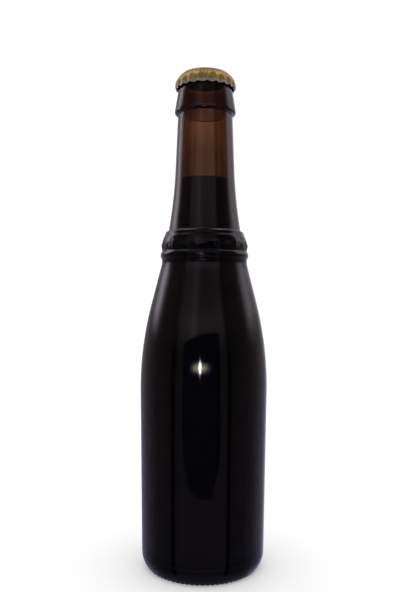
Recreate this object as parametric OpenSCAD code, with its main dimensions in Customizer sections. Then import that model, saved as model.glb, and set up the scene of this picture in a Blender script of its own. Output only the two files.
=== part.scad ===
// A 33 cl beer bottle of brown glass, filled and shut with a crown cap.
// Millimetres, +Z up. The origin is the middle of the ring that it stands on.

/* [Body] */
// Diameter at the widest place, where the shoulder starts
body_d = 61; // [48:1:80]
// Height of the widest place above the table
body_h = 86; // [60:1:110]
// How much narrower than the widest place the heel is, in diameter
body_taper = 1.8; // [0:0.1:4]
// Wall of the body and the shoulder
wall = 2.3; // [1.6:0.1:4.5]

/* [Heel and base] */
// Height of the rounded heel
heel_h = 7.6; // [5:0.1:14]
// How far the heel curves in to the standing ring, on the radius
heel_in = 2.9; // [1.5:0.1:5]
// Width of the flat ring that it stands on
foot_w = 2.6; // [1.5:0.1:5]
// Height of the hollow under the base
punt_h = 3.6; // [1:0.1:10]
// Thickness of the base at its middle
base_t = 4.2; // [2:0.1:8]
// Height of the curve between the floor and the wall inside
floor_bend_h = 8; // [4:0.5:14]

/* [Shoulder] */
// Height of the shoulder, from the widest place to the collar
shoulder_h = 59.6; // [40:0.2:80]
// Height from the widest place to where the tangents of the shoulder's curve meet
shoulder_bend_h = 20.4; // [8:0.2:30]
// Diameter under the collar, where the shoulder ends
shoulder_top_d = 40.8; // [32:0.1:50]

/* [Collar] */
// Height of the collar
collar_h = 15.2; // [10:0.2:22]
// Diameter of the collar's upright face
collar_d = 40.9; // [34:0.1:52]
// How far the bead along the collar's lower edge stands out, on the radius
bead_out = 0.65; // [0:0.05:1]
// Height of the bead
bead_h = 3.6; // [1.5:0.1:5]
// Height of the bead's middle above the collar's lower edge
bead_mid_h = 3.9; // [2.5:0.1:5]
// Height of the curve from the collar's face in to the neck
collar_bend_h = 7.6; // [4:0.2:9]
// Number of raised bars on the collar, with a raised dot between each two
mark_count = 12; // [6:1:16]
// Width of a bar
bar_w = 1.5; // [0.8:0.1:3]
// Length of a bar, with its round ends
bar_l = 4.4; // [2:0.1:5]
// Diameter of a dot
dot_d = 2.2; // [1:0.1:3]
// How far the bars and dots stand out
mark_out = 0.35; // [0.2:0.05:0.8]
// Height of the marks' middle above the collar's lower edge
mark_h = 8.6; // [6:0.1:12]
// Lean of the marks, which follows the collar's face
mark_lean = 8; // [0:1:20]

/* [Neck] */
// Height of the neck, from the collar to the ring under the mouth
neck_h = 55.3; // [35:0.1:75]
// Diameter of the neck where it rises from the collar
neck_foot_d = 34.6; // [29:0.1:40]
// Diameter of the neck where its curve ends
neck_d = 28.1; // [24:0.1:34]
// Height of the neck's curve
neck_sweep_h = 30.4; // [15:0.2:36]
// Diameter of the neck under the ring
neck_top_d = 26; // [22:0.1:32]
// Wall of the neck
neck_wall = 3.9; // [2.5:0.1:4.5]

/* [Mouth] */
// Diameter of the ring under the cap
ring_d = 29; // [27:0.1:36]
// Height of the slope under the ring
ring_under_h = 1.3; // [1:0.1:4]
// Height of the ring's upright edge
ring_edge_h = 0.8; // [0.4:0.1:2]
// Height of the slope from the ring up to the mouth's groove
ring_slope_h = 9.4; // [5:0.1:12]
// Height above the ring's edge of the corner that draws the slope's curve
ring_corner_h = 3.8; // [2:0.1:5]
// How far that corner leans in from the ring's edge, on the radius
ring_lean = 0.55; // [0:0.05:1]
// Diameter at the top of that slope
ring_top_d = 25.9; // [24:0.1:28]
// Diameter of the groove that the cap's edge is pressed into
groove_d = 25.4; // [23:0.1:26]
// Height of the groove
groove_h = 1.6; // [1:0.1:3]
// Diameter of the locking ring that the cap grips
lock_d = 26.6; // [26:0.1:32]
// Height from the groove to the middle of the locking ring
lock_rise_h = 1.2; // [0.8:0.1:3]
// Height of the locking ring's upright side
lock_side_h = 0.6; // [0.3:0.1:3]
// Rounding of the lip's outer edge
lip_round = 3.6; // [1.5:0.1:4]
// Diameter of the bore at the mouth
bore_d = 16.8; // [14:0.1:18]
// Rounding of the lip's inner edge
bore_round = 0.8; // [0.3:0.1:1.2]
// Height of the bend from the bore to the wider neck
bore_bend_h = 7; // [3:0.5:12]

/* [Beer] */
// Distance from the top of the lip down to the beer
ullage = 50; // [30:1:90]

/* [Crown cap] */
// Number of flutes round the cap
flutes = 21; // [21:1:24]
// Depth of the flutes at the cap's edge
flute_depth = 0.8; // [0.4:0.01:1.2]
// Height of the cap, from its edge to its top
cap_h = 7.2; // [6:0.1:9]
// Thickness of the sheet metal
sheet_t = 0.28; // [0.2:0.01:0.4]
// Thickness of the seal inside the cap
seal_t = 0.62; // [0.3:0.01:1]
// Width of the curve between the cap's flat top and the crests of its side, on the radius
cap_bend_w = 3.73; // [2.5:0.01:6]
// Height of the curve between the cap's top and its side
cap_bend_h = 5.5; // [3:0.1:6]
// Depth below the top at which the flutes reach their full depth
flute_full_h = 5.5; // [4.5:0.1:6]
// Gap between the cap's pressed flutes and the locking ring
cap_gap = 0.15; // [0.05:0.01:0.3]
// How much higher the edge is at the crest of a flute than between two
crest_lift = 0.35; // [0:0.05:0.8]
// How narrow the crests are: 1 is a plain wave
crest_sharpness = 1.6; // [1:0.1:3]
// Turn of the first crest from the front, in degrees
cap_turn = 3.5; // [0:0.5:17]

/* [Heel dots] */
// Number of raised dots in the mould's mark on the heel
heel_dot_count = 3; // [1:1:6]
// Diameter of a heel dot
heel_dot_d = 0.9; // [0.5:0.1:1.5]
// Distance between two heel dots
heel_dot_pitch = 1.9; // [1.5:0.1:3]
// How far the heel dots stand out
heel_dot_out = 0.25; // [0.1:0.05:0.4]
// Height of the heel dots above the table
heel_dot_h = 9.6; // [9:0.1:14]
// Turn of the heel dots from the front, in degrees
heel_dot_turn = 52; // [0:1:359]

/* [Hidden] */
$fn = 96;

// Steps in a bend, a long curve, one flute of the cap, its skirt and its rounded corner
bend_steps = 12;
curve_steps = 24;
flute_steps = 8;
skirt_steps = 2;
corner_steps = 7;
// Drawing allowance where one solid is cut from another or grows out of it
over = 1;
// Most of its own height that the shoulder's corner, and the neck's curve, may take
shoulder_corner_share = 0.45;
sweep_share = 0.8;
// How far the seal's rim runs in, for its height, under the cap's curve
seal_rim_run = 2;
// Inner points nearer to the seal than this are left out
seal_step = 0.05;

// Radii
body_r = body_d / 2;
heel_r = body_r - body_taper / 2;
foot_r = heel_r - heel_in;
shoulder_top_r = shoulder_top_d / 2;
collar_r = collar_d / 2;
neck_foot_r = neck_foot_d / 2;
neck_r = neck_d / 2;
neck_top_r = neck_top_d / 2;
bore_r = bore_d / 2;
lock_r = lock_d / 2;

// Heights above the table, each on top of the one before
collar_z = body_h + shoulder_h;
neck_z = collar_z + collar_h;
ring_z = neck_z + neck_h;
ring_edge_z = ring_z + ring_under_h;
ring_slope_z = ring_edge_z + ring_edge_h;
groove_z = ring_slope_z + ring_slope_h;
lock_z = groove_z + groove_h + lock_rise_h;
lip_z = lock_z + lock_side_h + lip_round;
beer_z = lip_z - ullage;

// The cap sits on the lip and its flutes clear the locking ring
cap_top_z = lip_z + seal_t + sheet_t;
cap_edge_z = cap_top_z - cap_h;
crest_r = lock_r + cap_gap + sheet_t + flute_depth;
cap_flat_r = crest_r - cap_bend_w;

// The shoulder's curve touches the upright at the widest place and the line to the collar
shoulder_corner_h = min(shoulder_bend_h, shoulder_corner_share * shoulder_h);
shoulder_lean = atan((body_r - shoulder_top_r) / (shoulder_h - shoulder_corner_h));
shoulder_round = shoulder_corner_h / tan(shoulder_lean / 2);

// Points on a circle from angle a0 to a1
function arc(centre, r, a0, a1, steps) =
    [for (i = [0:steps]) let (a = a0 + (a1 - a0) * i / steps) centre + r * [cos(a), sin(a)]];

// Points on a smooth bend from one point to another, drawn towards a corner
function bend(from, corner, to, steps) =
    [for (i = [0:steps]) let (t = i / steps)
        (1 - t) * (1 - t) * from + 2 * t * (1 - t) * corner + t * t * to];

// The heel is one arc that ends upright and meets the standing ring
heel_round = (heel_in * heel_in + heel_h * heel_h) / (2 * heel_in);
heel_points = arc([heel_r - heel_round, heel_h], heel_round, -asin(heel_h / heel_round), 0, bend_steps);

// Shoulder at a given distance inside the outer face
function shoulder_points(inset) = concat(
    arc([body_r - shoulder_round, body_h], shoulder_round - inset, 0, shoulder_lean, curve_steps),
    [[shoulder_top_r - inset / cos(shoulder_lean), collar_z]]);

// Collar: a rounded bead, an upright face and a bend in to the neck
bead_z = collar_z + bead_mid_h;
collar_curve_h = min(collar_bend_h, collar_h - bead_mid_h - bead_h / 2);
collar_points = concat(
    bend([collar_r, bead_z - bead_h / 2], [collar_r + 2 * bead_out, bead_z],
         [collar_r, bead_z + bead_h / 2], bend_steps),
    bend([collar_r, neck_z - collar_curve_h], [collar_r, neck_z - collar_curve_h / 4],
         [neck_foot_r, neck_z], bend_steps));

// Neck at a given distance inside the outer face: a curve, then a slim cone up to the ring
sweep_h = min(neck_sweep_h, sweep_share * neck_h);
neck_slope = (neck_r - neck_top_r) / (neck_h - sweep_h);
function neck_points(inset) = concat(
    bend([neck_foot_r - inset, neck_z], [neck_r - inset + neck_slope * sweep_h / 2, neck_z + sweep_h / 2],
         [neck_r - inset, neck_z + sweep_h], curve_steps),
    [[neck_top_r - inset, ring_z]]);

// Mouth: the ring, the slope, the groove, the locking ring and the rounded lip
mouth_points = concat(
    bend([neck_top_r, ring_z], [ring_d / 2, ring_z + ring_under_h / 4],
         [ring_d / 2, ring_edge_z], bend_steps / 2),
    bend([ring_d / 2, ring_slope_z], [ring_d / 2 - ring_lean, ring_slope_z + ring_corner_h],
         [ring_top_d / 2, groove_z], bend_steps),
    bend([ring_top_d / 2, groove_z], [groove_d / 2, groove_z],
         [groove_d / 2, groove_z + groove_h], bend_steps / 2),
    bend([groove_d / 2, groove_z + groove_h], [lock_r, lock_z - lock_rise_h / 2],
         [lock_r, lock_z], bend_steps / 2),
    arc([lock_r - lip_round, lip_z - lip_round], lip_round, 0, 90, bend_steps));

// Underside: the hollow is part of a ball
punt_r = foot_r - foot_w;
punt_ball_r = (punt_r * punt_r + punt_h * punt_h) / (2 * punt_h);
punt_points = arc([0, punt_h - punt_ball_r], punt_ball_r, 90, 90 - asin(punt_r / punt_ball_r), bend_steps);

// Inside: the floor follows the hollow, then bends up to the wall
floor_ball_r = punt_ball_r + base_t;
floor_r = heel_r - wall - floor_bend_h;
floor_lean = asin(floor_r / floor_ball_r);
floor_edge = [floor_r, punt_h - punt_ball_r + floor_ball_r * cos(floor_lean)];
wall_foot = [heel_r - wall, floor_edge[1] + floor_bend_h];
cavity_points = concat(
    arc([0, punt_h - punt_ball_r], floor_ball_r, 90, 90 - floor_lean, bend_steps),
    bend(floor_edge, [wall_foot[0], floor_edge[1] - floor_bend_h * tan(floor_lean)], wall_foot, bend_steps),
    shoulder_points(wall),
    neck_points(neck_wall),
    bend([neck_top_r - neck_wall, ring_z], [bore_r, ring_z + bore_bend_h / 2],
         [bore_r, ring_z + bore_bend_h], bend_steps / 2),
    arc([bore_r + bore_round, lip_z - bore_round], bore_round, 180, 90, bend_steps / 2));

// Keeps the points that lie off the one before, so that no step has a length of nothing
function distinct(points) =
    [for (i = [0:len(points) - 1]) if (i == 0 || norm(points[i] - points[i - 1]) > 0.001) points[i]];

module cavity() {
    rotate_extrude()
        polygon(concat([[0, lip_z + over]], distinct(cavity_points),
                       [[bore_r + bore_round, lip_z + over]]));
}

module blank() {
    rotate_extrude()
        polygon(distinct(concat(punt_points, heel_points, shoulder_points(0), collar_points,
                                neck_points(0), mouth_points, [[0, lip_z]])));
}

// A raised mark with round ends, standing upright on a face at radius r and height z
module mark(w, l, r, z, lean, out) {
    translate([r, 0, z]) rotate([0, 90 - lean, 0]) translate([0, 0, -over])
        linear_extrude(out + over) {
            for (end = [-1, 1]) translate([end * (l - w) / 2, 0]) circle(d = w, $fn = 24);
            if (l > w) square([l - w, w], center = true);
        }
}

// Bars and dots by turns, all round the collar
module collar_marks() {
    for (i = [0:mark_count - 1]) rotate([0, 0, (i + 0.5) * 360 / mark_count - 90]) {
        mark(bar_w, bar_l, collar_r, collar_z + mark_h, mark_lean, mark_out);
        rotate([0, 0, 180 / mark_count])
            mark(dot_d, dot_d, collar_r, collar_z + mark_h, mark_lean, mark_out);
    }
}

// A short row of dots on the heel
module heel_dots() {
    step = heel_dot_pitch / heel_r * 180 / PI;
    for (i = [0:heel_dot_count - 1]) rotate([0, 0, heel_dot_turn - 90 + i * step])
        mark(heel_dot_d, heel_dot_d, heel_r, heel_dot_h, 0, heel_dot_out);
}

module glass() {
    color("#2e170b") difference() {
        union() {
            blank();
            collar_marks();
            heel_dots();
        }
        cavity();
    }
}

module beer() {
    color("#140805") intersection() {
        cavity();
        cylinder(r = body_r, h = beer_z);
    }
}

// How far a flute stands out round the cap: 1 on a crest, 0 in the wide valley between
function crest(a) = pow((1 + cos(flutes * (a - cap_turn + 90))) / 2, crest_sharpness);

// Profile of the cap's skin: radius on a crest, height, and share of the flute's depth there
function flute_share(z) = pow(min(1, (cap_top_z - z) / flute_full_h), 1.5);
function skin_points(r, z) = concat(
    bend([cap_flat_r, z], [r, cap_top_z - cap_bend_h / 2], [r, cap_top_z - cap_bend_h], corner_steps),
    [for (i = [1:skirt_steps]) [r, cap_top_z - cap_bend_h - (cap_h - cap_bend_h) * i / skirt_steps]]);
function skin(inset) =
    [for (p = skin_points(crest_r - inset, cap_top_z - inset)) [p[0], p[1], flute_share(p[1])]];

// Only the part of the inner skin that lies below the seal, from the edge up to the seal's rim
inner_skin = [for (p = skin(sheet_t)) if (p[1] < lip_z - seal_step) p];
seal_rim = [inner_skin[0][0] - seal_rim_run * (lip_z - inner_skin[0][1]), lip_z, 0];
inner_profile = [for (i = [len(inner_skin) - 1:-1:0]) inner_skin[i]];
cap_profile = concat(skin(0), inner_profile, [seal_rim]);

// One ring of points round the cap
around = flutes * flute_steps;
function cap_ring(p) =
    [for (i = [0:around - 1])
        let (a = i * 360 / around, c = crest(a), r = p[0] - flute_depth * p[2] * (1 - c),
             edge = max(0, 1 - (p[1] - cap_edge_z) / crest_lift))
        [r * cos(a), r * sin(a), p[1] + crest_lift * edge * c]];

module crown_cap() {
    rings = len(cap_profile);
    points = concat([for (p = cap_profile) each cap_ring(p)], [[0, 0, cap_top_z], [0, 0, lip_z]]);
    sides = [for (k = [0:rings - 2], i = [0:around - 1]) let (j = (i + 1) % around)
        each [[k * around + i, k * around + j, (k + 1) * around + j],
              [k * around + i, (k + 1) * around + j, (k + 1) * around + i]]];
    top = [for (i = [0:around - 1]) [rings * around, (i + 1) % around, i]];
    under = [for (i = [0:around - 1])
        [rings * around + 1, (rings - 1) * around + i, (rings - 1) * around + (i + 1) % around]];
    color("#a8822f") polyhedron(points, concat(sides, top, under));
}

glass();
beer();
crown_cap();
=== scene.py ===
# %% [markdown]
# # A full bottle of dark beer
#
# This lesson dresses a finished construction model of a small brown bottle. The construction model gives
# every size and place. Here each of its three solids gets a piece that looks like the real thing: thick
# brown glass, the beer inside it and a pressed metal cap with its seal.
#
# The model comes in first. Each solid arrives as a mesh in metres with its place in its points, so a new
# piece needs no fitting: it is measured from the solid that it stands for.

# %% Load the construction model
import math

import bpy
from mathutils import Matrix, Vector


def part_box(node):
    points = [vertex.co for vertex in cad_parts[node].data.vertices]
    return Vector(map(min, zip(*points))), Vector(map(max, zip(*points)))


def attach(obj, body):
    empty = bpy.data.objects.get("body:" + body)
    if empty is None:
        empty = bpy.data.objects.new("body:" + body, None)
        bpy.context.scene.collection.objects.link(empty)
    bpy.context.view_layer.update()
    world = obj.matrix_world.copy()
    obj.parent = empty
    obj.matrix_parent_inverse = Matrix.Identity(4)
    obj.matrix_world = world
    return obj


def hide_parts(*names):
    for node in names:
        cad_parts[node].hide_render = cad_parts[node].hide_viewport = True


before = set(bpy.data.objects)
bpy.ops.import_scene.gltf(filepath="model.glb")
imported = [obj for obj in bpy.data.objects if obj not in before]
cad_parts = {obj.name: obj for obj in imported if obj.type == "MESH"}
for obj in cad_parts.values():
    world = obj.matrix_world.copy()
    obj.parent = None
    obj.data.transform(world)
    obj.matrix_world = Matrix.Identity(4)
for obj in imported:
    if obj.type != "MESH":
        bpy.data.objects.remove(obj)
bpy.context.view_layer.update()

glass_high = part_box("glass")[1]
beer_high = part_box("beer")[1]
cap_low, cap_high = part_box("crown_cap")
MM = 0.001
print("bottle", round(glass_high.z / MM, 1), "mm high, beer up to", round(beer_high.z / MM, 1), "mm")

# %% [markdown]
# ## Helpers for modelling by hand
#
# A modeller works by selecting something and then using a tool on it. A script selects by place: `choose`
# marks the points for which a test is true. Everything is deselected first, since a tool acts on all that
# is selected, and the solids that came in are still selected.

# %% Select an object, and select its points by place
def only(piece):
    """Makes a piece the one that tools act on."""
    if bpy.context.object and bpy.context.object.mode != "OBJECT":
        bpy.ops.object.mode_set(mode="OBJECT")
    bpy.ops.object.select_all(action="DESELECT")
    piece.select_set(True)
    bpy.context.view_layer.objects.active = piece


def choose(piece, test):
    """Opens a piece in edit mode with only the points selected for which test(place) is true."""
    only(piece)
    bpy.ops.object.mode_set(mode="EDIT")
    bpy.ops.mesh.select_mode(type="VERT")
    bpy.ops.mesh.select_all(action="DESELECT")
    bpy.ops.object.mode_set(mode="OBJECT")
    for point in piece.data.vertices:
        point.select = test(point.co)
    bpy.ops.object.mode_set(mode="EDIT")


def everywhere(place):
    return True


only(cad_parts["glass"])
print("selected:", [piece.name for piece in bpy.context.selected_objects])

# %% [markdown]
# ## From a solid to an outline
#
# Blown glass is a turned shape, so the whole wall is one outline spun round the axis. The outline could
# be drawn again point by point, but then it would have to agree with the construction by hand. Instead it
# is taken from a copy of the solid: the points that lie in the plane y = 0 on the +X side are the
# outline, and all others are deleted. The copy's loose triangles are merged first, so that the points
# along the outline are joined by edges.

# %% Take the outline of a solid
HAIR = 1e-6


def outline_of(node, name):
    """A new piece that holds only the outline of a CAD node, in the plane y = 0 on the +X side."""
    piece = bpy.data.objects.new(name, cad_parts[node].data.copy())
    bpy.context.scene.collection.objects.link(piece)
    piece.data.materials.clear()
    choose(piece, everywhere)
    bpy.ops.mesh.remove_doubles(threshold=HAIR)
    choose(piece, lambda place: abs(place.y) > HAIR or place.x < -HAIR)
    bpy.ops.mesh.delete(type="VERT")
    bpy.ops.object.mode_set(mode="OBJECT")
    if piece.data.has_custom_normals:
        bpy.ops.mesh.customdata_custom_splitnormals_clear()
    print(name, "outline:", len(piece.data.vertices), "points,", len(piece.data.edges), "edges")
    return piece


bottle = outline_of("glass", "bottle_glass")
drink = outline_of("beer", "dark_beer")

# %% [markdown]
# ## Clear one raised dot out of the outline
#
# The collar carries raised marks, and one of its dots lies right where the outline was taken. Its two
# points that stand out are deleted and the gap is closed with an edge, so that the spun collar is smooth.
# The marks come back later, as relief.

# %% Close the outline where the dot was
COLLAR_R = 20.45 * MM
MARK_Z = 154.2 * MM
MARK_BAND = 1.3 * MM
PROUD = 0.1 * MM


def by_the_dot(place, out):
    return abs(place.z - MARK_Z) < MARK_BAND and place.x > out


choose(bottle, lambda place: by_the_dot(place, COLLAR_R + PROUD))
bpy.ops.mesh.delete(type="VERT")
choose(bottle, lambda place: by_the_dot(place, COLLAR_R - MM))
bpy.ops.mesh.edge_face_add()
bpy.ops.object.mode_set(mode="OBJECT")
print("edges that meet at the dot:", sum(1 for edge in bottle.data.edges if edge.select))

# %% [markdown]
# ## A ledge at the foot of the neck
#
# Where the collar meets the neck, the mould leaves a narrow flat ledge, and it is what shines as a thin
# bright line at each side of the neck. The outline's points there are squeezed up to nearly one height
# with the resize tool, and the two corners that this makes are rounded with bevels.

# %% Flatten the top of the collar
LEDGE_Z, LEDGE_H = 160.8 * MM, 1.3 * MM
LEDGE_IN, LEDGE_OUT = 17 * MM, 18.9 * MM
NECK_TO, CORNER_FROM = 17.5 * MM, 18.5 * MM
NECK_ROUND, CORNER_ROUND = 0.48 * MM, 0.5 * MM
SQUEEZE = 0.12


def on_ledge(place):
    return LEDGE_Z - LEDGE_H < place.z < LEDGE_Z + HAIR and LEDGE_IN < place.x < LEDGE_OUT


def ledge_corner(place):
    return on_ledge(place) and place.x > CORNER_FROM


def neck_corner(place):
    return on_ledge(place) and place.x < NECK_TO


choose(bottle, on_ledge)
print("ledge points:", sum(1 for point in bottle.data.vertices if on_ledge(point.co)))
bpy.ops.transform.resize(value=(1, 1, SQUEEZE), center_override=(0, 0, LEDGE_Z))
choose(bottle, ledge_corner)
bpy.ops.mesh.bevel(offset=CORNER_ROUND, segments=3, affect="VERTICES")
choose(bottle, neck_corner)
bpy.ops.mesh.bevel(offset=NECK_ROUND, segments=5, affect="VERTICES")
bpy.ops.object.mode_set(mode="OBJECT")

# %% [markdown]
# ## Even steps along the outline
#
# Relief needs points to move. A long straight edge has none, so every edge that is longer than a limit is
# halved, again and again, until it isn't. The limit is coarse on the plain body and fine where marks and
# the ribbed foot come.

# %% Halve the long edges
PLAIN_STEP, FOOT_STEP, MARK_STEP, SURFACE_STEP = 8 * MM, 1.4 * MM, 0.6 * MM, 0.4 * MM
COLLAR_BAND = 3.5 * MM
TOP = 1.0


def refine(piece, limit, low, high, inner=0.0):
    """Halves the edges longer than limit that lie between two heights and outside a radius."""
    while True:
        only(piece)
        points = piece.data.vertices
        for point in points:
            point.select = False
        long_edges = 0
        for edge in piece.data.edges:
            a, b = (points[i].co for i in edge.vertices)
            middle = (a + b) / 2
            edge.select = (a - b).length > limit and low < middle.z < high and middle.x > inner
            long_edges += edge.select
        if not long_edges:
            return
        bpy.ops.object.mode_set(mode="EDIT")
        bpy.ops.mesh.select_mode(type="EDGE")
        bpy.ops.mesh.subdivide(number_cuts=1)
        bpy.ops.object.mode_set(mode="OBJECT")


refine(bottle, PLAIN_STEP, low=-MM, high=TOP)
refine(bottle, MARK_STEP, low=MARK_Z - COLLAR_BAND, high=MARK_Z + COLLAR_BAND, inner=18 * MM)
refine(bottle, MARK_STEP, low=7.7 * MM, high=11.6 * MM, inner=29 * MM)
refine(bottle, FOOT_STEP, low=-MM, high=1.6 * MM, inner=23.5 * MM)
refine(drink, PLAIN_STEP, low=-MM, high=TOP)
refine(drink, SURFACE_STEP, low=beer_high.z - 0.1 * MM, high=TOP, inner=6 * MM)
print("outlines now have", len(bottle.data.vertices), "and", len(drink.data.vertices), "points")

# %% [markdown]
# ## Spin
#
# The spin tool sweeps the outline round the axis. After a full turn the last copy lies on the first, so
# the doubles are merged, which also closes the poles. A spin can come out inside out, so the normals are
# then recalculated.

# %% Turn the outlines into solids
TURN_STEPS = 216
BOTTLE_SHARP = math.radians(38)


def spin(piece, steps):
    choose(piece, everywhere)
    bpy.ops.mesh.spin(steps=steps, angle=math.tau, center=(0, 0, 0), axis=(0, 0, 1))
    bpy.ops.mesh.select_all(action="SELECT")
    bpy.ops.mesh.remove_doubles(threshold=HAIR)
    bpy.ops.mesh.normals_make_consistent(inside=False)
    bpy.ops.object.mode_set(mode="OBJECT")
    bpy.ops.object.shade_smooth_by_angle(angle=BOTTLE_SHARP)
    print(piece.name, "has", len(piece.data.polygons), "faces")


spin(bottle, TURN_STEPS)
spin(drink, TURN_STEPS)

# %% [markdown]
# ## Finer faces in three bands
#
# Three bands carry fine relief: the collar, a strip on the heel and the foot. Only their faces are split
# once more, so that the rest of the bottle stays light.

# %% Split the faces where relief comes
# Lowest height, highest height and inner radius of each band
COLLAR_HALF = 3.2 * MM
BANDS = ((MARK_Z - COLLAR_HALF, MARK_Z + COLLAR_HALF, 19 * MM),
         (8.6 * MM, 10.6 * MM, 29 * MM),
         (-MM, 2.1 * MM, 23.2 * MM))


def in_band(place):
    out = math.hypot(place.x, place.y)
    return any(low < place.z < high and out > inner for low, high, inner in BANDS)


choose(bottle, in_band)
bpy.ops.mesh.subdivide(number_cuts=1)
bpy.ops.object.mode_set(mode="OBJECT")
triangles = sum(len(face.vertices) - 2 for face in bottle.data.polygons)
print("bottle has", triangles, "triangles")

# %% [markdown]
# ## Relief
#
# Raised marks, mould seams and the ribs of the foot all are the same smooth skin, pushed out or in by a
# fraction of a millimetre. A separate lump for each would leave its own walls inside the glass, where
# they would show. So a vertex group says how far each point takes part, from 0 to 1, and a Displace
# modifier moves it along its normal.

# %% Push a skin out or in by a painted share
LEAST_SHARE = 0.001


def relief(piece, name, height, share):
    """Moves each point of a piece by height times share(place, normal), along its normal."""
    group = piece.vertex_groups.new(name=name)
    painted = 0
    for point in piece.data.vertices:
        amount = share(point.co, point.normal)
        if amount > LEAST_SHARE:
            group.add([point.index], amount, "REPLACE")
            painted += 1
    only(piece)
    push = piece.modifiers.new(name, "DISPLACE")
    push.vertex_group = name
    push.strength = height
    push.mid_level = 0
    bpy.ops.object.modifier_apply(modifier=name)
    piece.vertex_groups.remove(piece.vertex_groups[name])
    print(name, "moved", painted, "points by up to", round(height / MM, 2), "mm")


def smooth_step(x):
    x = min(1, max(0, x))
    return x * x * (3 - 2 * x)


def outer(place, normal):
    return place.x * normal.x + place.y * normal.y > 0


def arc_from(place, degrees):
    """How far a place lies from a direction, in metres along the arc. 0 is +X and -90 the front."""
    turn = math.atan2(place.y, place.x) - math.radians(degrees)
    return math.hypot(place.x, place.y) * (turn - math.tau * round(turn / math.tau))


print("half way up the step:", smooth_step(0.5))

# %% [markdown]
# ## The collar's marks
#
# Returnable bottles often carry raised characters round the collar. These are plain ones: an upright bar
# and a dot by turns. Each has round ends, which makes it all the points within its radius of a short
# upright line. It stands out like a bead, highest along the line, as glass never takes a sharp corner
# from its mould.

# %% Raise the bars and dots
MARK_TURN = 30
MARK_RAISED, MARK_REACH = 0.35 * MM, 3 * MM
BAR_R, BAR_HALF = 0.85 * MM, 1.45 * MM
DOT_R = 1.2 * MM


def round_mark(place, degrees, radius, half_line, height):
    across = arc_from(place, degrees)
    along = max(0, abs(place.z - height) - half_line)
    return max(0, 1 - (across * across + along * along) / (radius * radius))


def collar_mark(place, normal):
    if abs(place.z - MARK_Z) > MARK_REACH or not outer(place, normal):
        return 0
    turn = math.degrees(math.atan2(place.y, place.x))
    dot_turn = MARK_TURN * round(turn / MARK_TURN)
    bar_turn = MARK_TURN * round(turn / MARK_TURN - 0.5) + MARK_TURN / 2
    return max(round_mark(place, dot_turn, DOT_R, 0, MARK_Z),
               round_mark(place, bar_turn, BAR_R, BAR_HALF, MARK_Z))


relief(bottle, "collar_marks", MARK_RAISED, collar_mark)

# %% [markdown]
# ## Heel dots, mould seams and the ribbed foot
#
# Three small dots on the heel are what the mould leaves. The mould has two halves, and a faint line runs
# up each side where they met. It is worn away at the widest part, where bottles rub on each other. The
# foot ring is ribbed so that hot bottles don't crack on a cold belt: its face is pressed in between the
# ribs, whose tops stay on the table.

# %% Add what the mould leaves
HEEL_DOTS, HEEL_DOT_TURN, HEEL_DOT_STEP = 3, -38, 3.68
HEEL_DOT_Z, HEEL_DOT_R, HEEL_DOT_RAISED = 9.6 * MM, 0.45 * MM, 0.25 * MM
SEAM_LOW, SEAM_HIGH = 2 * MM, 226 * MM
SEAM_HALF, SEAM_RAISED = 0.45 * MM, 0.07 * MM
WIDEST_Z, WORN_H = 86 * MM, 30 * MM
FOOT_RIBS, RIB_DEPTH = 72, 0.4 * MM
# Where the foot starts and how fast the ribs come in, in millimetres
FOOT_FROM, FOOT_EASE_OUT, FOOT_TO, FOOT_EASE_UP = 23.6, 0.8, 2.2, 1.6
FACING_UP = 0.2


def heel_dot(place, normal):
    if abs(place.z - HEEL_DOT_Z) > MM or not outer(place, normal):
        return 0
    turns = (HEEL_DOT_TURN + i * HEEL_DOT_STEP for i in range(HEEL_DOTS))
    return max(round_mark(place, turn, HEEL_DOT_R, 0, HEEL_DOT_Z) for turn in turns)


def mould_seam(place, normal):
    if not outer(place, normal) or place.z > SEAM_HIGH or place.z < SEAM_LOW:
        return 0
    clear_of_widest = smooth_step((abs(place.z - WIDEST_Z) - WORN_H) / WORN_H)
    away = min(abs(arc_from(place, 0)), abs(arc_from(place, 180)))
    return clear_of_widest * max(0, 1 - away / SEAM_HALF)


def between_ribs(place, normal):
    out = math.hypot(place.x, place.y)
    on_foot = smooth_step((out / MM - FOOT_FROM) / FOOT_EASE_OUT)
    on_foot *= smooth_step((FOOT_TO - place.z / MM) / FOOT_EASE_UP)
    if on_foot == 0 or normal.z > FACING_UP:
        return 0
    return on_foot * (0.5 - 0.5 * math.cos(FOOT_RIBS * math.atan2(place.y, place.x)))


relief(bottle, "heel_dots", HEEL_DOT_RAISED, heel_dot)
relief(bottle, "mould_seams", SEAM_RAISED, mould_seam)
relief(bottle, "foot_ribs", -RIB_DEPTH, between_ribs)

# %% [markdown]
# ## An uneven wall
#
# A mould shapes only the outside. Inside, the glass sets as it was blown, a little thicker here and
# thinner there, and that is what draws soft upright streaks in the light that comes through a neck. A sum
# of a few waves round the axis, whose places drift with the height, gives the inner skin that unevenness.

# %% Thicken the wall unevenly from inside
# Waves in a turn, their part of the whole, and how far they drift with the height
WAVES = ((2, 0.30, 9.0), (7, 0.28, -21.0), (13, 0.24, 34.0), (23, 0.18, 55.0))
UNEVEN = 0.3 * MM
# Where the unevenness starts and ends, and how fast it comes in and goes out, in millimetres
UNEVEN_LOW, UNEVEN_HIGH, EASE_LOW, EASE_HIGH = 30, 226, 20, 8


def uneven(place, normal):
    height = place.z / MM
    if outer(place, normal) or height < UNEVEN_LOW or height > UNEVEN_HIGH:
        return 0
    turn = math.atan2(place.y, place.x)
    fade = smooth_step((height - UNEVEN_LOW) / EASE_LOW) * smooth_step((UNEVEN_HIGH - height) / EASE_HIGH)
    wave = sum(part * math.cos(count * turn + drift * place.z) for count, part, drift in WAVES)
    return fade * (0.5 + 0.5 * wave)


relief(bottle, "uneven_wall", UNEVEN, uneven)

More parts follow.
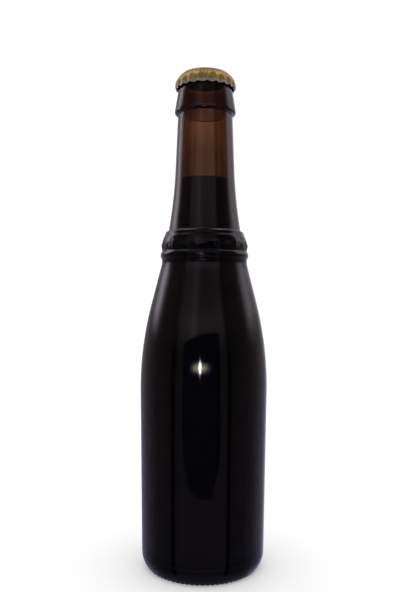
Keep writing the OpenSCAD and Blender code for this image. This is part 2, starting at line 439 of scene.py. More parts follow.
# %% [markdown]
# ## Where the wall is wet
#
# A bare glass skin mirrors a few parts in a hundred of the light. Where beer touches it, hardly any comes
# back, because the two bend light almost alike. The renderer meets the two skins one by one and would
# mirror at both. So the wall remembers, in an attribute of its points, where it is wet, and the finish
# turns its mirroring down there.

# %% Mark the wet part of the wall
WALL_FROM = 5 * MM
FLOOR_LOW, FLOOR_HIGH = 4 * MM, 20 * MM
FLOOR_FACING = 0.5


def mark_wet(piece, level):
    wet = piece.data.attributes.new("wet", "FLOAT", "POINT")
    for point in piece.data.vertices:
        inside = not outer(point.co, point.normal) and point.co.z > WALL_FROM
        floor_inside = point.normal.z > FLOOR_FACING and FLOOR_LOW < point.co.z < FLOOR_HIGH
        wet.data[point.index].value = 1.0 if (inside or floor_inside) and point.co.z < level else 0.0
    print("wet points:", sum(1 for item in wet.data if item.value > 0))


mark_wet(bottle, beer_high.z)

# %% [markdown]
# ## The beer
#
# Where liquid touches glass there is no air. If the two skins only met, tiny gaps between their facets
# would shine like bubbles, so the beer's skin is pushed a little way into the wall. At the top it creeps
# up the wall in a narrow curve, the meniscus, which catches light.

# %% Let the beer reach into the wall and creep up it
REACH = 0.15 * MM
CREEP_H, CREEP_W = 1.1 * MM, 0.8 * MM
SURFACE_FACING, SURFACE_SLACK = 0.98, 0.5 * MM
top_r = max(math.hypot(v.co.x, v.co.y) for v in drink.data.vertices if v.co.z > beer_high.z - HAIR)


def side_of_beer(place, normal):
    return 1 if abs(normal.z) < SURFACE_FACING or place.z < beer_high.z - MM else 0


relief(drink, "reach", REACH, side_of_beer)
for point in drink.data.vertices:
    if point.co.z > beer_high.z - SURFACE_SLACK:
        inset = max(0, top_r - math.hypot(point.co.x, point.co.y))
        point.co.z = beer_high.z + CREEP_H * math.exp(-inset / CREEP_W)
print("meniscus", round((max(v.co.z for v in drink.data.vertices) - beer_high.z) / MM, 2), "mm high")

# %% [markdown]
# ## The crown cap
#
# A crown is a disc of thin steel, lacquered on the flat sheet and then pressed over the lip, which
# gathers its edge into 21 flutes. It is made the same way here: a disc, whose rim is extruded outwards
# and down ring by ring into a smooth skirt, then the valleys between the flutes are pressed in, and last
# the skin gets its thickness.

# %% Draw the disc and the smooth skirt
FLUTES = 21
CAP_STEPS = FLUTES * 16
SHEET = 0.28 * MM
CAP_FLAT_R = 10.8 * MM
CAP_BEND_H = 5.5 * MM
FLUTE_DEPTH = 0.8 * MM
cap_h = cap_high.z - cap_low.z
CREST_CLEAR = 0.01 * MM
crest_r = cap_high.x - CREST_CLEAR
BEND_ROWS, SKIRT_ROWS = 12, 6
# Widths of the rings that the disc is divided into, from its rim inwards
DISC_RINGS = (1.2 * MM, 2.6 * MM, 2.6 * MM, 2.2 * MM, 1.4 * MM)


def skirt_rings():
    """Radius and height of each ring of the skirt: a bend drawn towards a corner, then an upright edge."""
    for i in range(1, BEND_ROWS + 1):
        t = i / BEND_ROWS
        out = (1 - t) ** 2 * CAP_FLAT_R + (1 - (1 - t) ** 2) * crest_r
        yield out, cap_high.z - CAP_BEND_H * (t * (1 - t) + t * t)
    for i in range(1, SKIRT_ROWS + 1):
        yield crest_r, cap_high.z - CAP_BEND_H - (cap_h - CAP_BEND_H) * i / SKIRT_ROWS


bpy.ops.object.select_all(action="DESELECT")
bpy.ops.mesh.primitive_circle_add(vertices=CAP_STEPS, radius=CAP_FLAT_R, fill_type="NGON",
                                  location=(0, 0, cap_high.z))
cap = bpy.context.object
cap.name = cap.data.name = "crown_cap_skin"
bpy.ops.object.transform_apply()
bpy.ops.object.mode_set(mode="EDIT")
bpy.ops.mesh.select_all(action="SELECT")
for ring in DISC_RINGS:
    bpy.ops.mesh.inset(thickness=ring)
bpy.ops.mesh.poke()
bpy.ops.object.mode_set(mode="OBJECT")
print("disc:", len(cap.data.polygons), "faces")

# %% [markdown]
# ## The skirt
#
# The press draws the metal down over the lip. The disc's rim is extruded ring by ring, and each ring is
# widened with the resize tool to the radius that the bend has at its height.

# %% Extrude the skirt
at_r, at_z = CAP_FLAT_R, cap_high.z
choose(cap, lambda place: math.hypot(place.x, place.y) > CAP_FLAT_R - HAIR)
bpy.ops.mesh.select_mode(type="EDGE")
for out, height in skirt_rings():
    bpy.ops.mesh.extrude_edges_move(TRANSFORM_OT_translate={"value": (0, 0, height - at_z)})
    bpy.ops.transform.resize(value=(out / at_r, out / at_r, 1), center_override=(0, 0, height))
    at_r, at_z = out, height
bpy.ops.mesh.select_all(action="SELECT")
bpy.ops.mesh.normals_make_consistent(inside=False)
bpy.ops.object.mode_set(mode="OBJECT")
print("skirt ends", round((at_z - cap_low.z) / MM, 3), "mm above the cap's lowest point")

# %% [markdown]
# ## Flutes
#
# The crests are narrow and stand out, and the valleys between them are wide. Each point's share is how
# deep in a valley it lies, times how far down the skirt it is, so that the flutes run out into the smooth
# top. The edge is a little higher on the crests, because the metal there has further to go.

# %% Press the valleys and lift the edge at the crests
CAP_TURN = 3.5
FLUTE_FULL_H = 5.5 * MM
CREST_LIFT = 0.35 * MM
CREST_SHARPNESS = 1.6
RUN_OUT = 1.5


def crest(place):
    turn = math.atan2(place.y, place.x) + math.radians(90 - CAP_TURN)
    return ((1 + math.cos(FLUTES * turn)) / 2) ** CREST_SHARPNESS


for point in cap.data.vertices:
    place = point.co
    depth = FLUTE_DEPTH * min(1, max(0, cap_high.z - place.z) / FLUTE_FULL_H) ** RUN_OUT
    out = math.hypot(place.x, place.y)
    pressed = max(0, out - depth * (1 - crest(place))) / max(out, HAIR)
    lift = CREST_LIFT * max(0, 1 - (place.z - cap_low.z) / CREST_LIFT) * crest(place)
    point.co = (place.x * pressed, place.y * pressed, place.z + lift)
print("valleys pressed", FLUTE_DEPTH / MM, "mm deep")

# %% [markdown]
# ## Thickness and a rounded edge
#
# So far the cap is a skin without thickness. A Solidify modifier adds the sheet's thickness towards the
# inside, so that the outside stays where it is, and a Bevel modifier rounds the cut edge, which then
# catches a line of light.

# %% Give the sheet its thickness
CUT_EDGE, CUT_ANGLE = 0.06 * MM, math.radians(60)
CAP_SHARP = math.radians(45)
only(cap)
wall = cap.modifiers.new("sheet", "SOLIDIFY")
wall.thickness = SHEET
wall.offset = -1
bpy.ops.object.modifier_apply(modifier="sheet")
rim = cap.modifiers.new("rim", "BEVEL")
rim.width = CUT_EDGE
rim.segments = 2
rim.limit_method = "ANGLE"
rim.angle_limit = CUT_ANGLE
bpy.ops.object.modifier_apply(modifier="rim")
bpy.ops.object.shade_smooth_by_angle(angle=CAP_SHARP)
print("cap skin", len(cap.data.polygons), "faces")

# %% [markdown]
# ## Which side of the sheet is inside
#
# The inside of the crown is painted near-black: painted shade that closes the view up through the glass
# of the mouth. The sheet remembers it in an attribute of its points: 1 where the skin faces the axis or the
# lip, and 0 elsewhere.

# %% Mark the cap's inside
FACING_DOWN, FACING_TOP = -0.5, 0.9
TOP_SLACK = 0.1 * MM


def mark_inside(piece):
    inside = piece.data.attributes.new("inside", "FLOAT", "POINT")
    for point in piece.data.vertices:
        under = point.normal.z < FACING_DOWN and point.co.z > cap_low.z + MM
        inside.data[point.index].value = 1.0 if under or not outer(point.co, point.normal) else 0.0
    for point in piece.data.vertices:
        if point.normal.z > FACING_TOP and point.co.z > cap_high.z - TOP_SLACK:
            inside.data[point.index].value = 0.0
    print("inside points:", sum(1 for item in inside.data if item.value > 0), "of", len(inside.data))


mark_inside(cap)

# %% [markdown]
# ## The seal
#
# Inside the cap is a disc of soft plastic that seals the lip; its near-black colour is painted shade. It
# only shows from below, through the brown glass of the mouth, as a dark lens. It is a disc with its rim
# bevelled round.

# %% Model the seal
SEAL_T, SEAL_R = 0.62 * MM, 11.0 * MM
SEAL_CLEAR, SEAL_ROUND = 0.02 * MM, 0.2 * MM
SEAL_SHARP = math.radians(35)
bpy.ops.object.select_all(action="DESELECT")
seal_top = cap_high.z - SHEET
bpy.ops.mesh.primitive_cylinder_add(vertices=96, radius=SEAL_R, depth=SEAL_T - SEAL_CLEAR,
                                    location=(0, 0, seal_top - SEAL_T / 2))
seal = bpy.context.object
seal.name = seal.data.name = "cap_seal"
bpy.ops.object.transform_apply()
soft_rim = seal.modifiers.new("soft_rim", "BEVEL")
soft_rim.width = SEAL_ROUND
soft_rim.segments = 3
bpy.ops.object.modifier_apply(modifier="soft_rim")
bpy.ops.object.shade_smooth_by_angle(angle=SEAL_SHARP)
print("seal lies from", round((seal_top - SEAL_T) / MM, 2), "to", round(seal_top / MM, 2), "mm")

# %% [markdown]
# ## Materials: small helpers
#
# Every finish is built from nodes. `add` makes a node and sets its values, and `wire` joins two sockets.
# Patterns use Object coordinates, which are the piece's own metres, so they stay put on the piece
# whatever the camera does.

# %% Make nodes and wires
def new_material(name):
    material = bpy.data.materials.new(name)
    material.use_nodes = True
    material.node_tree.nodes.clear()
    return material, material.node_tree


def add(tree, kind, values=None, **settings):
    """Adds a node. values sets its sockets by name or number, and settings its own properties."""
    node = tree.nodes.new(kind)
    for key, value in settings.items():
        setattr(node, key, value)
    for key, value in (values or {}).items():
        node.inputs[key].default_value = value
    return node


def wire(tree, source, target):
    tree.links.new(source, target)


def maths(tree, operation, a, b=0.0, clamp=False):
    """A maths node whose two inputs are numbers or sockets. Returns its output."""
    node = add(tree, "ShaderNodeMath", operation=operation, use_clamp=clamp)
    for socket, value in zip(node.inputs, (a, b)):
        if isinstance(value, (int, float)):
            socket.default_value = value
        else:
            wire(tree, value, socket)
    return node.outputs[0]


def mix_colour(tree, share, a, b):
    node = add(tree, "ShaderNodeMix", data_type="RGBA")
    for name, value in (("Factor", share), ("A", a), ("B", b)):
        socket = [s for s in node.inputs if s.name == name and s.enabled][0]
        if isinstance(value, (int, float, tuple)):
            socket.default_value = value
        else:
            wire(tree, value, socket)
    return [s for s in node.outputs if s.enabled][0]


print("helpers ready")

# %% [markdown]
# ## A shared effect: soft mottle
#
# Glass, lacquer and plastic all vary a little from place to place. One node group makes that variation,
# and each material places it with its own scale and contrast. It puts out a mask, from 0 to 1, and the
# same pattern as a height.

# %% Build the mottle group
def mottle_group():
    group = bpy.data.node_groups.new("soft_mottle", "ShaderNodeTree")
    for name, default in (("Scale", 100.0), ("Stretch", 1.0), ("Contrast", 2.0)):
        socket = group.interface.new_socket(name, in_out="INPUT", socket_type="NodeSocketFloat")
        socket.default_value = default
    group.interface.new_socket("Mask", in_out="OUTPUT", socket_type="NodeSocketFloat")
    group.interface.new_socket("Height", in_out="OUTPUT", socket_type="NodeSocketFloat")
    start, end = add(group, "NodeGroupInput"), add(group, "NodeGroupOutput")
    place = add(group, "ShaderNodeTexCoord")
    split, join = add(group, "ShaderNodeSeparateXYZ"), add(group, "ShaderNodeCombineXYZ")
    wire(group, place.outputs["Object"], split.inputs[0])
    wire(group, split.outputs["X"], join.inputs["X"])
    wire(group, split.outputs["Y"], join.inputs["Y"])
    wire(group, maths(group, "DIVIDE", split.outputs["Z"], start.outputs["Stretch"]), join.inputs["Z"])
    noise = add(group, "ShaderNodeTexNoise", {"Detail": 3.0, "Roughness": 0.55})
    wire(group, join.outputs[0], noise.inputs["Vector"])
    wire(group, start.outputs["Scale"], noise.inputs["Scale"])
    centred = maths(group, "SUBTRACT", noise.outputs[0], 0.5)
    scaled = maths(group, "MULTIPLY", centred, start.outputs["Contrast"])
    wire(group, maths(group, "ADD", scaled, 0.5, clamp=True), end.inputs["Mask"])
    wire(group, noise.outputs[0], end.inputs["Height"])
    return group


MOTTLE = mottle_group()


def mottle(tree, scale, stretch=1.0, contrast=2.0):
    node = add(tree, "ShaderNodeGroup", node_tree=MOTTLE)
    for name, value in (("Scale", scale), ("Stretch", stretch), ("Contrast", contrast)):
        node.inputs[name].default_value = value
    return node


print("group sockets:", [item.name for item in MOTTLE.interface.items_tree])

# %% [markdown]
# ## Brown glass
#
# Clear glass is colourless at its skin. What makes a bottle brown is the light that is lost on the way
# through, more of the blue than of the red, so a thick wall is nearly black and a thin one amber. A
# Volume Absorption does exactly that: it takes light off by the distance travelled. The skin itself is
# smooth, with a very shallow ripple that makes reflections waver, and a trace of handling haze in its
# roughness.

# %% Make the glass
WHITE_SKIN = (1, 1, 1, 1)
BROWN_LOSS = (0.448, 0.233, 0.009, 1)
WET_TINT = (0.06, 0.06, 0.06, 1)


def brown_glass():
    material, tree = new_material("brown_glass")
    out = add(tree, "ShaderNodeOutputMaterial")
    skin = add(tree, "ShaderNodeBsdfPrincipled", {
        "Base Color": WHITE_SKIN, "IOR": 1.52, "Transmission Weight": 1.0, "Metallic": 0.0})
    haze = mottle(tree, 60, contrast=3.0)
    wire(tree, maths(tree, "MULTIPLY", haze.outputs["Mask"], 0.03), skin.inputs["Roughness"])
    ripple = mottle(tree, 45, stretch=3.0)
    bump = add(tree, "ShaderNodeBump", {"Strength": 0.35, "Distance": 0.0005})
    wire(tree, ripple.outputs["Height"], bump.inputs["Height"])
    wire(tree, bump.outputs[0], skin.inputs["Normal"])
    wet = add(tree, "ShaderNodeAttribute", attribute_name="wet")
    mirrored = mix_colour(tree, wet.outputs["Fac"], WHITE_SKIN, WET_TINT)
    wire(tree, mirrored, skin.inputs["Specular Tint"])
    loss = add(tree, "ShaderNodeVolumeAbsorption", {"Color": BROWN_LOSS, "Density": 580.0})
    wire(tree, skin.outputs[0], out.inputs["Surface"])
    wire(tree, loss.outputs[0], out.inputs["Volume"])
    return material


bottle.data.materials.append(brown_glass())
print("glass finish on", bottle.name)

# %% [markdown]
# ## Dark beer
#
# The beer is a liquid of a lower index than glass, and it takes light the same way: a finger's depth of
# it is deep red-brown, and a bottle's width is black. It is perfectly smooth, but its surface gets a
# trace of ripple, which breaks up the line of the meniscus.

# %% Make the beer
BEER_LOSS = (0.75, 0.43, 0.02, 1)
BEER_TINT = (0.12, 0.12, 0.12, 1)


def dark_beer():
    material, tree = new_material("dark_beer")
    out = add(tree, "ShaderNodeOutputMaterial")
    skin = add(tree, "ShaderNodeBsdfPrincipled", {
        "Base Color": WHITE_SKIN, "IOR": 1.34, "Transmission Weight": 1.0, "Roughness": 0.0,
        "Metallic": 0.0, "Specular Tint": BEER_TINT})
    ripple = mottle(tree, 300)
    bump = add(tree, "ShaderNodeBump", {"Strength": 0.3, "Distance": 0.0002})
    wire(tree, ripple.outputs["Height"], bump.inputs["Height"])
    wire(tree, bump.outputs[0], skin.inputs["Normal"])
    loss = add(tree, "ShaderNodeVolumeAbsorption", {"Color": BEER_LOSS, "Density": 720.0})
    wire(tree, skin.outputs[0], out.inputs["Surface"])
    wire(tree, loss.outputs[0], out.inputs["Volume"])
    return material


drink.data.materials.append(dark_beer())
print("beer finish on", drink.name)

# %% [markdown]
# ## Gold lacquer, bare edge and print
#
# The sheet is printed flat: a gold lacquer over most of the disc, which stops short of its cut edge, so
# the lowest band of the pressed cap is bare tinplate. Round the shoulder runs a ring of small dark
# dashes, a plain stand-in for what is usually printed there. All of it follows from a point's height and
# its turn about the axis. The inside is painted near-black, as painted shade.

# %% Make the cap's finish
BARE_Z = cap_low.z + 1.35 * MM
EDGE_WAVER, EDGE_FADE = 0.5 * MM, 0.25 * MM
DASHES = 42
DASH_TOP, DASH_LOW = cap_high.z - 0.9 * MM, cap_high.z - 2.5 * MM
GOLD = (0.28, 0.175, 0.038, 1), (0.43, 0.285, 0.075, 1)
STEEL = (0.26, 0.245, 0.225, 1), (0.40, 0.38, 0.35, 1)
# The inside colour is painted shade: near-black where the sheet faces the axis or the lip.
PRINT, INSIDE_SHADE = (0.12, 0.075, 0.02, 1), (0.012, 0.013, 0.02, 1)


def times_plus(tree, value, factor, extra, clamp=False):
    """value * factor + extra."""
    result = maths(tree, "MULTIPLY_ADD", value, factor, clamp=clamp)
    result.node.inputs[2].default_value = extra
    return result


def gold_cap():
    material, tree = new_material("gold_cap")
    out = add(tree, "ShaderNodeOutputMaterial")
    skin = add(tree, "ShaderNodeBsdfPrincipled")
    place = add(tree, "ShaderNodeTexCoord")
    split = add(tree, "ShaderNodeSeparateXYZ")
    wire(tree, place.outputs["Object"], split.inputs[0])
    x, y, z = split.outputs
    turn = maths(tree, "ARCTAN2", y, x)
    uneven_edge = mottle(tree, 350, contrast=2.0)
    wavy = times_plus(tree, uneven_edge.outputs["Mask"], EDGE_WAVER, -EDGE_WAVER / 2)
    over_edge = maths(tree, "SUBTRACT", maths(tree, "ADD", z, wavy), BARE_Z)
    lacquered = maths(tree, "MULTIPLY_ADD", over_edge, 1 / EDGE_FADE, clamp=True)
    tone = mottle(tree, 500, contrast=2.5)
    gold = mix_colour(tree, tone.outputs["Mask"], *GOLD)
    steel = mix_colour(tree, tone.outputs["Mask"], *STEEL)
    wave = maths(tree, "SINE", maths(tree, "MULTIPLY", turn, DASHES))
    dash = times_plus(tree, wave, 4.0, -0.4, clamp=True)
    below, above = maths(tree, "LESS_THAN", z, DASH_TOP), maths(tree, "GREATER_THAN", z, DASH_LOW)
    band = maths(tree, "MULTIPLY", below, above)
    printed = maths(tree, "MULTIPLY", maths(tree, "MULTIPLY", dash, band), 0.75)
    coated = mix_colour(tree, printed, gold, PRINT)
    inside = add(tree, "ShaderNodeAttribute", attribute_name="inside").outputs["Fac"]
    shown = mix_colour(tree, lacquered, steel, coated)
    # Where the sheet faces inside, its colour is swapped for the near-black painted shade.
    wire(tree, mix_colour(tree, inside, shown, INSIDE_SHADE), skin.inputs["Base Color"])
    bright = times_plus(tree, printed, -0.5, 0.72)
    outside = maths(tree, "SUBTRACT", 1.0, inside)
    wire(tree, maths(tree, "MULTIPLY", bright, outside), skin.inputs["Metallic"])
    wire(tree, times_plus(tree, tone.outputs["Mask"], 0.15, 0.28), skin.inputs["Roughness"])
    bump = add(tree, "ShaderNodeBump", {"Strength": 0.25, "Distance": 0.0001})
    wire(tree, tone.outputs["Height"], bump.inputs["Height"])
    wire(tree, bump.outputs[0], skin.inputs["Normal"])
    wire(tree, skin.outputs[0], out.inputs["Surface"])
    return material


cap.data.materials.append(gold_cap())
print("bare tinplate below", round(BARE_Z / MM, 1), "mm")

# %% [markdown]
# ## The seal's plastic
#
# The seal is a dull plastic, coloured near-black as painted shade under the cap. The same mottle varies its
# colour and its roughness a little.

# %% Make the seal's finish
# The seal's near-black colour is painted shade: the dark under the cap, seen through the mouth.
SEAL_SHADE = (0.018, 0.019, 0.03, 1), (0.03, 0.032, 0.05, 1)


def seal_plastic():
    material, tree = new_material("seal_plastic")
    out = add(tree, "ShaderNodeOutputMaterial")
    skin = add(tree, "ShaderNodeBsdfPrincipled")
    tone = mottle(tree, 700, contrast=2.0)
    wire(tree, mix_colour(tree, tone.outputs["Mask"], *SEAL_SHADE), skin.inputs["Base Color"])
    wire(tree, times_plus(tree, tone.outputs["Mask"], 0.15, 0.5), skin.inputs["Roughness"])
    wire(tree, skin.outputs[0], out.inputs["Surface"])
    return material


seal.data.materials.append(seal_plastic())
print("seal finish on", seal.name)

# %% [markdown]
# ## Hand the pieces over
#
# Each piece rides on the construction's one body and takes the place of its solid.

# %% Ride and replace
for piece, node, slot_name in ((bottle, "glass", "brown_glass"), (drink, "beer", "dark_beer"),
                               (cap, "crown_cap", "gold_cap")):
    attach(piece, "root")
    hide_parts(node)
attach(seal, "root")
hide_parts("crown_cap")
print("pieces:", [piece.name for piece in (bottle, drink, cap, seal)])

# %% [markdown]
# ## Floor and light
#
# The bottle stands on a plain pale floor in soft white light from all round. The floor gives off a trace
# of light of its own, which keeps the shadow round the base soft. Light through the glass comes from a
# bright panel behind the bottle, which gets brighter higher up, as plain white would look too even there.

# %% Lay the floor
FLOOR_SIZE = 12
PALE = (0.96, 0.96, 0.96, 1)
OWN_LIGHT = 0.12


def plain(name, colour, roughness, own_light):
    material, tree = new_material(name)
    out = add(tree, "ShaderNodeOutputMaterial")
    skin = add(tree, "ShaderNodeBsdfPrincipled", {
        "Base Color": colour, "Roughness": roughness,
        "Emission Color": colour, "Emission Strength": own_light})
    wire(tree, skin.outputs[0], out.inputs["Surface"])
    return material


bpy.ops.object.select_all(action="DESELECT")
bpy.ops.mesh.primitive_plane_add(size=FLOOR_SIZE, location=(0, 0, 0))
floor = bpy.context.object
floor.name = "floor"
floor.data.materials.append(plain("pale_floor", PALE, 0.7, OWN_LIGHT))
floor.visible_glossy = False
print("floor", FLOOR_SIZE, "m wide")

# %% Set the light
WHITE = 1.06
BRIGHTEST = 4.0
# Brightness that comes through glass, by direction in degrees: 0 is straight behind and 90 to its right
THROUGH_STOPS = ((-180, 0.36), (-90, 0.6), (-30, 0.55), (-13, 0.38), (-10.5, 0.82), (-3, 0.84), (0, 0.72),
                 (3, 0.82), (6, 0.74), (9, 0.42), (30, 0.55), (90, 0.6), (180, 0.36))
# How much brighter the panel gets between two heights, as sines of the elevation
PANEL_LOW, PANEL_HIGH, PANEL_GAIN = 0.212, 0.26, 1.9


def brightness_curve(tree, share, stops):
    """A curve through (degrees, brightness) stops, scaled by the greatest, as a curve ends at 1."""
    node = add(tree, "ShaderNodeFloatCurve")
    curve = node.mapping.curves[0]
    places = [((degrees + 180) / 360, value / BRIGHTEST) for degrees, value in stops]
    curve.points[0].location, curve.points[1].location = places[0], places[-1]
    for place in places[1:-1]:
        curve.points.new(*place)
    for point in curve.points:
        point.handle_type = "VECTOR"
    node.mapping.update()
    wire(tree, share, node.inputs["Value"])
    return maths(tree, "MULTIPLY", node.outputs[0], BRIGHTEST)


def round_share(tree, across, ahead):
    """Direction round the axis as a share from 0 to 1, where 0.5 lies ahead."""
    turn = maths(tree, "ARCTAN2", across, ahead)
    return maths(tree, "ADD", maths(tree, "DIVIDE", turn, math.tau), 0.5)


def eased(tree, value, start, end, from_value=0.0, to_value=1.0):
    """Goes smoothly from one value to another as the input goes from start to end."""
    ranges = {1: start, 2: end, 3: from_value, 4: to_value}
    node = add(tree, "ShaderNodeMapRange", ranges, interpolation_type="SMOOTHSTEP")
    wire(tree, value, node.inputs[0])
    return node.outputs[0]


def soft_world():
    """White all round, but for light that comes through glass there is a bright panel behind the bottle."""
    world = bpy.data.worlds.new("soft_white")
    world.use_nodes = True
    tree = world.node_tree
    tree.nodes.clear()
    out = add(tree, "ShaderNodeOutputWorld")
    sky = add(tree, "ShaderNodeBackground", {"Color": (1, 1, 1, 1)})
    place, split = add(tree, "ShaderNodeTexCoord"), add(tree, "ShaderNodeSeparateXYZ")
    wire(tree, place.outputs["Generated"], split.inputs[0])
    share = round_share(tree, split.outputs["X"], split.outputs["Y"])
    behind = brightness_curve(tree, share, THROUGH_STOPS)
    higher = eased(tree, split.outputs["Z"], PANEL_LOW, PANEL_HIGH, 1.0, PANEL_GAIN)
    seen = maths(tree, "MULTIPLY", behind, higher)
    through = add(tree, "ShaderNodeLightPath").outputs["Is Transmission Ray"]
    change = maths(tree, "MULTIPLY", maths(tree, "SUBTRACT", seen, WHITE), through)
    wire(tree, maths(tree, "ADD", change, WHITE), sky.inputs["Strength"])
    wire(tree, sky.outputs[0], out.inputs["Surface"])
    return world


bpy.context.scene.world = soft_world()
print("world ready, with", len(THROUGH_STOPS), "stops for light through glass")

# %% [markdown]
# ## Cards that only show as reflections
#
# Dark glossy glass is lit by what it mirrors, so in a studio grey and black cards stand round a bottle to
# draw its form. These are such cards: an upright round screen whose brightness changes with the
# direction, and a disc that closes it at the top and one at the bottom. Only mirrored rays see them, so
# they hide nothing and light nothing else. High up at the sides they are bright, which draws the line on
# the ledge under the neck.

# %% Put up the round screen
SCREEN_R = 4.0
SCREEN_LOW, SCREEN_HIGH = -4.0, 8.0
EYE = Vector((0.0018, -0.3155, 0.1292))
# Brightness by direction round the bottle, in degrees: 0 is towards the lens and 90 to its right
LOW_STOPS = ((-180, 0.5), (-160, 0.25), (-140, 0.22), (-120, 0.15), (-100, 0.085), (-85, 0.065),
             (-62, 0.055), (-58, 0.005), (-54, 0.005), (-49, 0.06), (-40, 0.075), (36, 0.075), (43, 0.06),
             (45, 0.005), (49, 0.005), (52, 0.05), (85, 0.065), (100, 0.11), (120, 0.19), (140, 0.26),
             (155, 0.5), (180, 0.8))
HIGH_STOPS = ((-180, 0.45), (-150, 0.4), (-136, 0.45), (-128, 1.3), (-116, 1.9), (-109, 1.1), (-101, 0.3),
              (-92, 0.08), (-60, 0.055), (-50, 0.09), (-38, 0.13), (-30, 0.15), (-23, 0.25), (-17, 0.24),
              (-10, 0.12), (5, 0.09), (14, 0.11), (20, 0.09), (28, 0.13), (36, 0.1), (43, 0.055),
              (47, 0.045), (80, 0.06), (92, 0.15), (103, 0.7), (111, 0.95), (125, 0.65), (140, 0.5),
              (155, 0.75), (180, 0.8))
# Brightness high above, in front and at the sides
ABOVE_STOPS = ((-180, 0.15), (-135, 0.5), (-90, 2.6), (-65, 0.6), (-40, 0.1),
               (40, 0.1), (65, 0.6), (90, 2.6), (135, 0.5), (180, 0.15))
# Tint of what is mirrored from above and from below
TINT_HIGH, TINT_LOW = (1.09, 1.0, 1.12, 1), (1.08, 1.0, 1.5, 1)
TINT_FROM, TINT_TO = math.radians(-2), math.radians(-18)
# Elevations between which the low stops give way to the high ones, and those to the brightness above
LIFT_FROM, LIFT_TO = math.radians(4), math.radians(15)
ABOVE_FROM, ABOVE_TO = math.radians(42), math.radians(58)
# A faint level band ahead: its elevation, half its height, its middle and half its width as shares of a turn
BAND_RISE, BAND_HALF, BAND_LIGHT = math.radians(20), math.radians(7), 0.1
BAND_MIDDLE, BAND_WIDE = 0.486, 0.128


def glow(name, colour, strength):
    """A glowing material. strength is a number or a function that wires the light's sockets."""
    material, tree = new_material(name)
    out = add(tree, "ShaderNodeOutputMaterial")
    light = add(tree, "ShaderNodeEmission", {"Color": colour})
    if callable(strength):
        place, split = add(tree, "ShaderNodeTexCoord"), add(tree, "ShaderNodeSeparateXYZ")
        wire(tree, place.outputs["Object"], split.inputs[0])
        strength(tree, light, *split.outputs)
    else:
        light.inputs["Strength"].default_value = strength
    wire(tree, light.outputs[0], out.inputs["Surface"])
    return material


def mirrored_only(piece):
    piece.visible_camera = piece.visible_diffuse = False
    piece.visible_transmission = piece.visible_shadow = piece.visible_volume_scatter = False


def front_share(tree, x, y):
    """Direction round the axis as a share from 0 to 1, where 0.5 is towards the lens."""
    return round_share(tree, x, maths(tree, "MULTIPLY", y, -1.0))


def between(tree, a, b, share):
    return maths(tree, "ADD", maths(tree, "MULTIPLY", maths(tree, "SUBTRACT", b, a), share), a)


def bell_of(tree, squares):
    """The bell curve of a sum of squares."""
    return maths(tree, "POWER", math.e, maths(tree, "MULTIPLY", squares, -1.0))


def screen_light(tree, light, x, y, z):
    share = front_share(tree, x, y)
    rise = maths(tree, "ARCTANGENT", maths(tree, "DIVIDE", maths(tree, "SUBTRACT", z, EYE.z), SCREEN_R))
    stops = LOW_STOPS, HIGH_STOPS, ABOVE_STOPS
    low, high, above = (brightness_curve(tree, share, each) for each in stops)
    round_about = between(tree, low, high, eased(tree, rise, LIFT_FROM, LIFT_TO))
    from_band = maths(tree, "DIVIDE", maths(tree, "SUBTRACT", rise, BAND_RISE), BAND_HALF)
    level = bell_of(tree, maths(tree, "POWER", from_band, 2.0))
    ahead = maths(tree, "COMPARE", share, BAND_MIDDLE)
    ahead.node.inputs[2].default_value = BAND_WIDE
    band = maths(tree, "MULTIPLY", maths(tree, "MULTIPLY", level, ahead), BAND_LIGHT)
    below = maths(tree, "ADD", round_about, band)
    lit = between(tree, above, below, eased(tree, rise, ABOVE_FROM, ABOVE_TO, 1.0, 0.0))
    wire(tree, lit, light.inputs["Strength"])
    drop = add(tree, "ShaderNodeMapRange", {1: TINT_FROM, 2: TINT_TO})
    wire(tree, rise, drop.inputs[0])
    wire(tree, mix_colour(tree, drop.outputs[0], TINT_HIGH, TINT_LOW), light.inputs["Color"])


CARD_SIDES = 180
bpy.ops.object.select_all(action="DESELECT")
bpy.ops.mesh.primitive_cylinder_add(vertices=CARD_SIDES, radius=SCREEN_R, depth=SCREEN_HIGH - SCREEN_LOW,
                                    end_fill_type="NOTHING",
                                    location=(0, 0, (SCREEN_LOW + SCREEN_HIGH) / 2))
screen = bpy.context.object
screen.name = "reflection_screen"
bpy.ops.object.transform_apply()
bpy.ops.object.shade_smooth()
screen.data.materials.append(glow("screen_glow", TINT_HIGH, screen_light))
mirrored_only(screen)
print("screen with", len(LOW_STOPS), "low and", len(HIGH_STOPS), "high stops")

# %% Close the screen at the top and the bottom
GROUND_LIGHT = 0.1


def sky_light(tree, light, x, y, z):
    strength = brightness_curve(tree, front_share(tree, x, y), ABOVE_STOPS)
    wire(tree, strength, light.inputs["Strength"])


def lid(name, height, colour, strength):
    """A glowing disc that closes the round screen at its top or its bottom."""
    bpy.ops.object.select_all(action="DESELECT")
    bpy.ops.mesh.primitive_circle_add(vertices=CARD_SIDES, radius=SCREEN_R, fill_type="NGON",
                                      location=(0, 0, height))
    disc = bpy.context.object
    disc.name = name
    bpy.ops.object.transform_apply()
    disc.data.materials.append(glow(name, colour, strength))
    mirrored_only(disc)


lid("sky_card", SCREEN_HIGH, TINT_HIGH, sky_light)
lid("ground_card", SCREEN_LOW, TINT_LOW, GROUND_LIGHT)
print("screen closed from", SCREEN_LOW, "to", SCREEN_HIGH, "m")

# %% [markdown]
# ## Lamp and dark card
#
# A small lamp beside the lens makes the one bright spark on the body and a softer one on the collar's
# bead. It is a glow painted on a small upright card: a bright core, a wide low halo and an upright ray.
# Away from the glow the card is as dark as the large card behind it, which stands for whoever holds the
# lens and makes the dark patch.

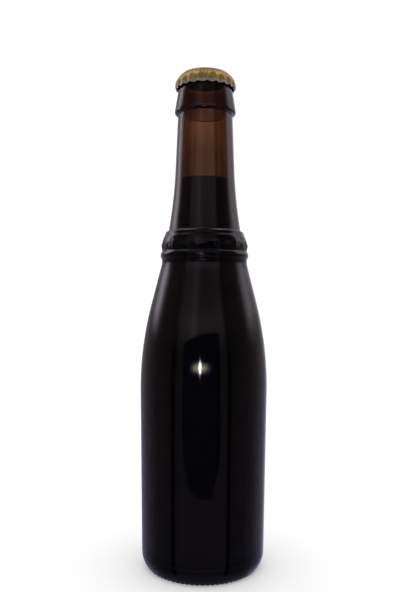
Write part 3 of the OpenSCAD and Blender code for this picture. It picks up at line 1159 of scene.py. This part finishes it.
# %% Hang the lamp
LAMP_AT = Vector((-0.036, -0.3155, 0.112))
LAMP_W, LAMP_H = 0.26, 0.12
DARK = 0.024
CARD_TINT, LAMP_TINT = (0.75, 0.65, 1.6, 1), (1, 0.94, 0.8, 1)
# Half width, half height and strength
CORE, HALO, RAY = (0.0085, 0.0092, 90.0), (0.055, 0.009, 7.0), (0.0065, 0.0145, 13.0)


def soft_spot(tree, x, z, wide, high, strength):
    """A soft round glow about the lamp, of given half width and half height."""
    across = maths(tree, "POWER", maths(tree, "DIVIDE", maths(tree, "SUBTRACT", x, LAMP_AT.x), wide), 2.0)
    up = maths(tree, "POWER", maths(tree, "DIVIDE", maths(tree, "SUBTRACT", z, LAMP_AT.z), high), 2.0)
    return maths(tree, "MULTIPLY", bell_of(tree, maths(tree, "ADD", across, up)), strength)


def lamp_light(tree, light, x, y, z):
    core, halo, ray = (soft_spot(tree, x, z, *spot) for spot in (CORE, HALO, RAY))
    total = maths(tree, "ADD", maths(tree, "ADD", core, halo), maths(tree, "ADD", ray, DARK))
    wire(tree, total, light.inputs["Strength"])
    warm = maths(tree, "SUBTRACT", total, DARK, clamp=True)
    wire(tree, mix_colour(tree, warm, CARD_TINT, LAMP_TINT), light.inputs["Color"])


def upright_card(name, wide, high, place):
    bpy.ops.object.select_all(action="DESELECT")
    bpy.ops.mesh.primitive_plane_add(size=1, location=place, rotation=(math.radians(90), 0, 0))
    card = bpy.context.object
    card.name = name
    card.scale = (wide, high, 1)
    bpy.ops.object.transform_apply()
    return card


lamp = upright_card("lamp_card", LAMP_W, LAMP_H, LAMP_AT)
lamp.data.materials.append(glow("lamp_glow", LAMP_TINT, lamp_light))
mirrored_only(lamp)
print("lamp", LAMP_W, "by", LAMP_H, "m")

# %% Hang the dark card
CARD_Y = -0.45
CARD_LEFT, CARD_RIGHT = -0.325, 0.25
CARD_LOW, CARD_TIP = -0.075, -0.103
CARD_TOP_LEFT, CARD_TOP_RIGHT = 0.217, 0.256
TIP_SHARE = 0.58
card = upright_card("dark_card", CARD_RIGHT - CARD_LEFT, CARD_TOP_LEFT - CARD_LOW,
                    ((CARD_LEFT + CARD_RIGHT) / 2, CARD_Y, (CARD_LOW + CARD_TOP_LEFT) / 2))
choose(card, lambda place: place.z > CARD_TOP_LEFT - HAIR and place.x > 0)
bpy.ops.transform.translate(value=(0, 0, CARD_TOP_RIGHT - CARD_TOP_LEFT))
choose(card, lambda place: place.z < CARD_LOW + HAIR)
bpy.ops.mesh.select_mode(type="EDGE")
bpy.ops.mesh.extrude_edges_move(TRANSFORM_OT_translate={"value": (0, 0, CARD_TIP - CARD_LOW)})
bpy.ops.transform.resize(value=(TIP_SHARE, 1, 1))
bpy.ops.object.mode_set(mode="OBJECT")
card.data.materials.append(glow("card_glow", CARD_TINT, DARK))
mirrored_only(card)
print("dark card from", CARD_TIP, "to", CARD_TOP_RIGHT, "m high")

# %% [markdown]
# ## The camera
#
# A normal lens a little above the middle of the bottle and close to it, tipped down by two degrees, so
# the base curves one way and the cap the other. A small shift centres the bottle.

# %% Place the camera
TIPPED, LEANING = math.radians(88), math.radians(-0.35)
FILM_H, LENS, SHIFT = 36, 39.7, 0.042
bpy.ops.object.select_all(action="DESELECT")
bpy.ops.object.camera_add(location=EYE, rotation=(TIPPED, LEANING, 0))
camera = bpy.context.object
camera.data.sensor_fit = "VERTICAL"
camera.data.sensor_height = FILM_H
camera.data.lens = LENS
camera.data.shift_y = SHIFT
bpy.context.scene.camera = camera
bpy.context.scene.view_settings.view_transform = "Standard"
print("camera", round(EYE.length, 3), "m from the base")
